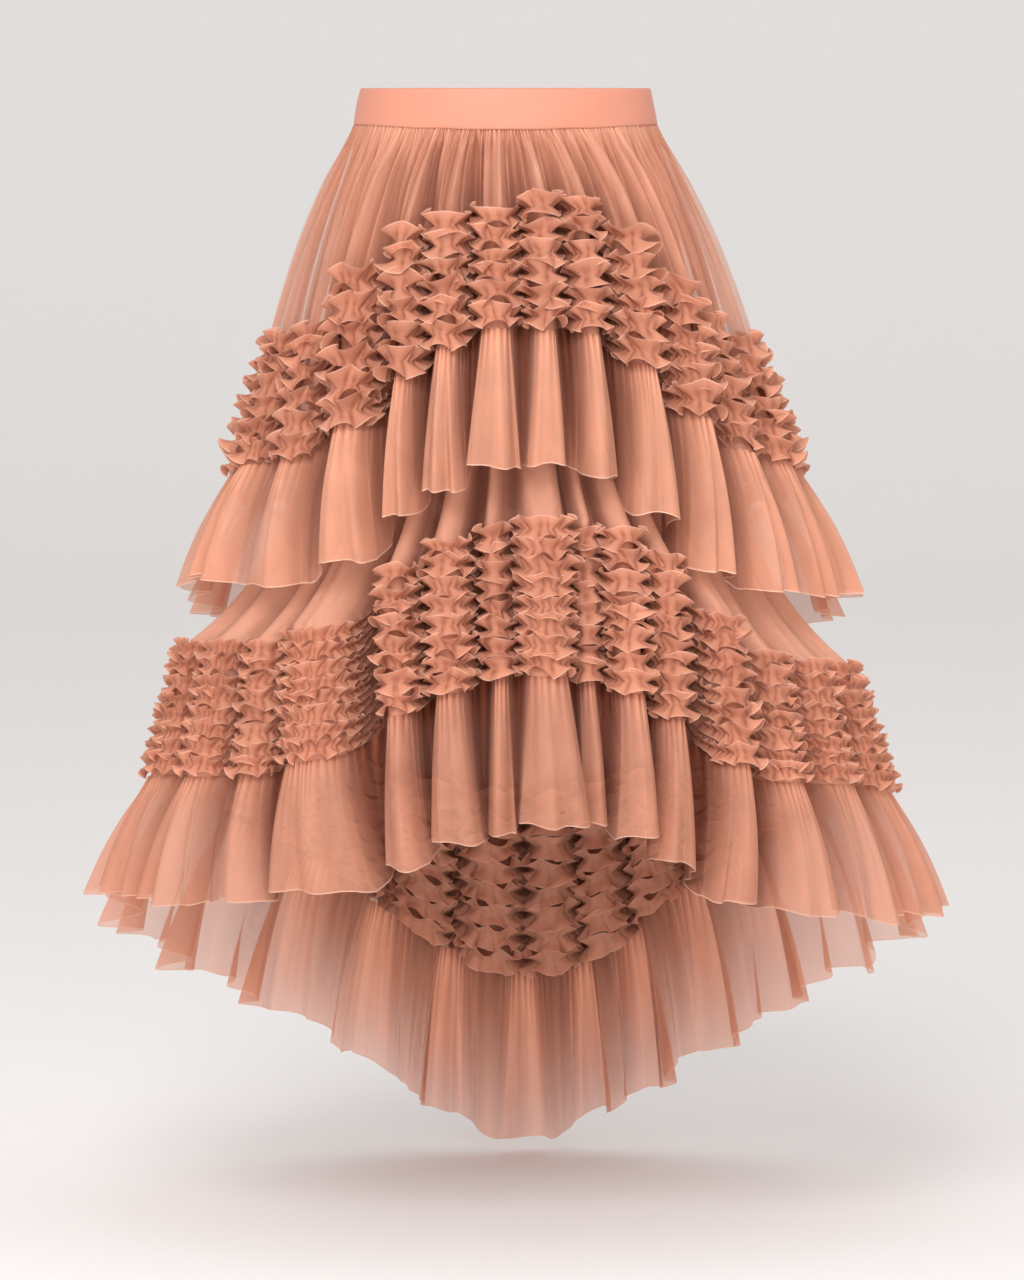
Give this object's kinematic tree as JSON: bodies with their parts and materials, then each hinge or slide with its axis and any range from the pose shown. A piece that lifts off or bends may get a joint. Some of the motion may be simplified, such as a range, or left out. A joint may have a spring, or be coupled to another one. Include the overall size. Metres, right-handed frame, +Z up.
{
  "type": "tiered ruffle skirt",
  "caption": "Hollow high-low skirt of sheer gathered cloth on a smooth waistband, with two nested tiers, each a ruffled band over a plain flounce.",
  "frame": {"origin": "middle of the waist opening, level with the top edge of the waistband", "axes": "+Z up out of the waist opening, -Y towards the skirt's short front, +X towards the left hand of the wearer"},
  "size_m": [0.7579, 0.6708, 1.0046],
  "materials": {
    "band_satin": "smooth satin weave, soft sheen",
    "tulle": "sheer crisp organza tulle, fine weave",
    "ruffle_tulle": "sheer crisp organza tulle gathered into ruffles"
  },
  "bodies": {
    "root": {"waistband": "band_satin", "upper_panel": "tulle", "upper_ruffle_1": "ruffle_tulle", "upper_ruffle_2": "ruffle_tulle", "upper_ruffle_3": "ruffle_tulle", "upper_ruffle_4": "ruffle_tulle", "upper_ruffle_5": "ruffle_tulle", "upper_ruffle_6": "ruffle_tulle", "upper_flounce": "tulle", "lower_panel": "tulle", "lower_ruffle_1": "ruffle_tulle", "lower_ruffle_2": "ruffle_tulle", "lower_ruffle_3": "ruffle_tulle", "lower_ruffle_4": "ruffle_tulle", "lower_ruffle_5": "ruffle_tulle", "lower_ruffle_6": "ruffle_tulle", "lower_ruffle_7": "ruffle_tulle", "lower_ruffle_8": "ruffle_tulle", "lower_flounce": "tulle"}
  },
  "joints": []
}
